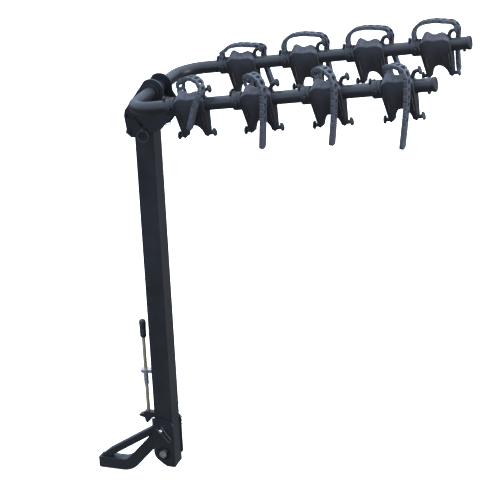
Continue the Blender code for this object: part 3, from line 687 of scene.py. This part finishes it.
def saddle_pad_mesh():
    """The ribbed rubber pad that lies on the saddle."""
    work = bmesh.new()
    sections = []
    for share in PAD_SHARES:
        edge = 0.0008 if abs(share) > 0.95 else 0.0
        upper, lower = [], []
        for x, z in saddle_line(90):
            ridge = RIDGE_HEIGHT * max(0.0, math.cos(x * 2 * math.pi / RIDGE_PITCH))
            lift = 0.0009 + ridge - edge
            if abs(x) > 0.036:
                lift = 0.0003
            level = sloped(z, share)
            upper.append((x * 0.985, share * DEPTH, level + lift))
            lower.append((x * 0.985, share * DEPTH, level - 0.0015))
        sections.append(upper + list(reversed(lower)))
    add_loft(work, sections)
    return mesh_from(work, "saddle_pad", sharp=50)


def make_cradles():
    body, pad = cradle_mesh(), saddle_pad_mesh()
    for row in ROWS:
        for number in range(1, CRADLES + 1):
            place = cradle_place(row, number)
            label = f"{row}_{number}"
            cradle = new_piece(f"cradle_body_{label}", body, PLASTIC, place)
            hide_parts(f"cradle_{label}")
            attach(cradle, "arm_frame")
            lining = new_piece(f"saddle_pad_{label}", pad, SADDLE, place)
            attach(lining, "arm_frame")


# ---------------------------------------------------------------- straps

STRAP_WIDTH = 0.022
STRAP_THICK = 0.0092
HOLE_PITCH = 0.0175
HOLE_RADIUS = 0.0058
NEAR_TAB, FAR_TAB = 0.052, 0.030  # the length without holes at a strap's tail
END_ROUND = STRAP_WIDTH / 2 * 0.6
END_MARGIN = 0.001
SHORTEST_ROOT = 0.002


def far_route(top_z, tail_x):
    """A far strap's route: over its saddle, past the horn's peg and down outside the arm."""
    return [
        (-0.0510, 0, 0.018, 90), (-0.0515, 0, 0.034, 90), (-0.045, 0, top_z - 0.014, 90),
        (-0.028, 0, top_z - 0.003, 90), (0, 0, top_z, 90), (0.027, 0.003, top_z - 0.004, 86),
        (0.047, 0.014, min(0.050, top_z - 0.010), 84),
        (0.053, 0.027, 0.030, 88), (0.0475, 0.032, 0.005, 90),
        (0.044 + tail_x * 0.5, 0.033, -0.035, 90), (0.044 + tail_x, 0.033, -0.074, 90),
    ]


# Each route is x, y and z from the cradle's centre on the arm's axis, and the angle of the
# strap's width about Z, in degrees.
NEAR_ROUTES = [
    [(-0.025, 0.021, 0.016, 55), (-0.026, 0.020, 0.036, 52), (-0.022, 0.016, 0.052, 50),
     (0, 0.006, 0.063, 52),
     (0.024, -0.008, 0.0635, 58), (0.042, -0.024, 0.055, 70), (0.045, -0.034, 0.036, 80),
     (0.025, -0.036, 0.006, 84), (0, -0.036, -0.050, 84)],
    [(-0.024, 0.021, 0.016, 55), (-0.025, 0.020, 0.036, 52), (-0.024, 0.016, 0.050, 50),
     (-0.010, 0.003, 0.0585, 52),
     (0.010, -0.015, 0.056, 60), (0.024, -0.029, 0.044, 74), (0.0275, -0.035, 0.018, 82),
     (0.0165, -0.035, -0.042, 84), (0.003, -0.035, -0.109, 84)],
    [(-0.024, 0.021, 0.016, 55), (-0.025, 0.020, 0.036, 52), (-0.024, 0.016, 0.051, 50),
     (-0.009, 0.002, 0.0595, 52),
     (0.012, -0.016, 0.056, 60), (0.026, -0.030, 0.044, 74), (0.029, -0.035, 0.018, 82),
     (0.0195, -0.035, -0.040, 84), (0.0028, -0.035, -0.113, 84)],
    [(-0.024, 0.021, 0.016, 55), (-0.025, 0.020, 0.034, 52), (-0.025, 0.016, 0.045, 50),
     (-0.012, 0.004, 0.050, 52),
     (0.010, -0.014, 0.0505, 60), (0.026, -0.029, 0.044, 72), (0.0305, -0.035, 0.022, 82),
     (0.0195, -0.035, -0.042, 84), (-0.003, -0.035, -0.134, 84)],
]
FAR_ROUTES = [far_route(0.050, 0.016), far_route(0.062, 0.006), far_route(0.062, 0.020),
              far_route(0.062, -0.004)]
STRAPS = {"near": (NEAR_ROUTES, NEAR_TAB), "far": (FAR_ROUTES, FAR_TAB)}


class Band:
    """A route measured along its length, which places a flat strap's points in space."""

    def __init__(self, route):
        self.points = smooth_route(route, 12)
        self.lengths = [0.0]
        for a, b in zip(self.points, self.points[1:]):
            self.lengths.append(self.lengths[-1] + (Vector(b[:3]) - Vector(a[:3])).length)
        self.total = self.lengths[-1]

    def at(self, along):
        along = min(max(along, 0.0), self.total)
        i = 1
        while i < len(self.lengths) - 1 and self.lengths[i] < along:
            i += 1
        span = self.lengths[i] - self.lengths[i - 1]
        return self.points[i - 1].lerp(self.points[i], (along - self.lengths[i - 1]) / span)

    def place(self, along, across):
        point = self.at(along)
        angle = math.radians(point[3])
        side = Vector((math.cos(angle), math.sin(angle), 0))
        return Vector(point[:3]) + side * across


def add_cell(work, band, start):
    """One pitch of the strap: a square of rubber with a round hole in it."""
    half, centre = STRAP_WIDTH / 2, start + HOLE_PITCH / 2
    sides = 24
    outer, inner = [], []
    for k in range(sides):
        angle = 2 * math.pi * (k + 0.5) / sides
        c, s = math.cos(angle), math.sin(angle)
        reach = 1 / max(abs(c), abs(s))
        along, across = c * reach * HOLE_PITCH / 2, s * reach * half
        outer.append(work.verts.new(band.place(centre + along, across)))
        inner.append(work.verts.new(band.place(centre + c * HOLE_RADIUS, s * HOLE_RADIUS * 1.05)))
    for k in range(sides):
        j = (k + 1) % sides
        work.faces.new((outer[k], outer[j], inner[j], inner[k]))


def add_plain(work, band, low, high):
    """The plain grid of one short length of strap."""
    half, steps = STRAP_WIDTH / 2, 4
    rows = []
    for i in range(3):
        along = low + (high - low) * i / 2
        rows.append([work.verts.new(band.place(along, half * (2 * j / steps - 1)))
                     for j in range(steps + 1)])
    for first, second in zip(rows, rows[1:]):
        for j in range(steps):
            work.faces.new((first[j], second[j], second[j + 1], first[j + 1]))


def add_rounded_end(work, band, start):
    """The tab's half-round end."""
    half, steps = STRAP_WIDTH / 2, 6
    rows = []
    for i in range(steps + 1):
        share = math.sin(i / steps * math.pi / 2)
        width = half * (1 - 0.45 * share * share)
        along = start + END_ROUND * share
        rows.append([work.verts.new(band.place(along, width * (j / 4 * 2 - 1))) for j in range(5)])
    for first, second in zip(rows, rows[1:]):
        for j in range(4):
            work.faces.new((first[j], second[j], second[j + 1], first[j + 1]))


def strap_mesh(name, route, tab):
    """A strap's middle surface: a plain root, cells with holes, a plain tab, a round end."""
    band = Band(route)
    work = bmesh.new()
    count = int((band.total - END_ROUND - END_MARGIN) // HOLE_PITCH)
    start = band.total - END_ROUND - END_MARGIN - count * HOLE_PITCH
    if start > SHORTEST_ROOT:
        add_plain(work, band, 0, start)
    for i in range(count):
        here = start + i * HOLE_PITCH
        if here + HOLE_PITCH > band.total - tab:
            add_plain(work, band, here, here + HOLE_PITCH)
        else:
            add_cell(work, band, here)
    add_rounded_end(work, band, start + count * HOLE_PITCH)
    bmesh.ops.remove_doubles(work, verts=work.verts, dist=0.0003)
    return mesh_from(work, name)


def make_straps():
    for row in ROWS:
        for number in range(1, CRADLES + 1):
            label = f"{row}_{number}"
            routes, tab = STRAPS[row]
            mesh = strap_mesh(f"ladder_strap_{label}", routes[number - 1], tab)
            strap = new_piece(f"ladder_strap_{label}", mesh, STRAP,
                              cradle_place(row, number))
            thick = strap.modifiers.new("thickness", "SOLIDIFY")
            thick.thickness = STRAP_THICK
            thick.offset = 0
            soften(strap, 0.0011, 2)
            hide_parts(f"strap_{label}")
            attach(strap, "arm_frame")


# ---------------------------------------------------------------- painted shade sheets at the head plates' slots

SHADE_SHEET_LOW = (0.1590, 0.9730)
SHADE_SHEET_HIGH = (0.1800, 1.0100)
SHADE_SHEET_CORNER = 0.004
SHADE_SHEET_FACES = (0.0001, 0.0004)  # from the mast's side to the sheet's inner and outer faces


def make_slot_shade_sheets():
    """Thin dark sheets that stand forward of the mast and cover the ends of the head plates' slots:
    painted shade where the white background would show through.
    """
    mast_low, mast_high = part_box("mast_tube")
    for row, mast_face in (("near", mast_low.y), ("far", mast_high.y)):
        side = ROWS[row]
        (left, low), (right, high) = SHADE_SHEET_LOW, SHADE_SHEET_HIGH
        r = SHADE_SHEET_CORNER
        outline = [(right, low), (right, high), *arc((left + r, high - r), r, 90, 180, 6),
                   *arc((left + r, low + r), r, 180, 270, 6)]
        rings = []
        for gap in SHADE_SHEET_FACES:
            rings.append([(x, mast_face + side * gap, z) for x, z in outline])
        work = bmesh.new()
        add_loft(work, rings)
        # Each sheet is painted shade: dark plastic placed where the slot ends would otherwise show
        # white.
        name = f"slot_shade_sheet_{row}"
        shade_sheet = new_piece(name, mesh_from(work, name), PLASTIC)
        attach(shade_sheet, "mast")


# ---------------------------------------------------------------- release grip


def make_grip():
    """The rubber grip: a swelling sleeve with a domed top and three moulded rings."""
    low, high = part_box("release_grip")
    middle = (low + high) / 2
    profile = [(low.z, 0.0066), (low.z + 0.0015, 0.0082), (low.z + 0.006, 0.0087)]
    for i in range(3):
        ring = low.z + 0.011 + 0.006 * i
        profile += [(ring, 0.0088), (ring + 0.0008, 0.0081), (ring + 0.0022, 0.0081),
                    (ring + 0.0030, 0.0089)]
    profile += [(high.z - 0.012, 0.0094), (high.z - 0.006, 0.0094), (high.z - 0.0025, 0.0082),
                (high.z - 0.0006, 0.0056), (high.z, 0.0015)]
    work = bmesh.new()
    points = [(middle.x, middle.y, z) for z, _ in profile]
    add_tube(work, points, [radius for _, radius in profile], 36)
    grip = new_piece("grip_sleeve", mesh_from(work, "grip_sleeve"), GRIP)
    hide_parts("release_grip")
    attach(grip, "rod_latch")


# ---------------------------------------------------------------- the whole object

make_camera()
make_lanyard()
make_world()
make_floor()
for lamp_values in LAMPS:
    make_lamp(*lamp_values)
dress_cad_nodes()
make_arm_tube()
make_arm_caps()
make_cradles()
make_straps()
make_slot_shade_sheets()
make_grip()
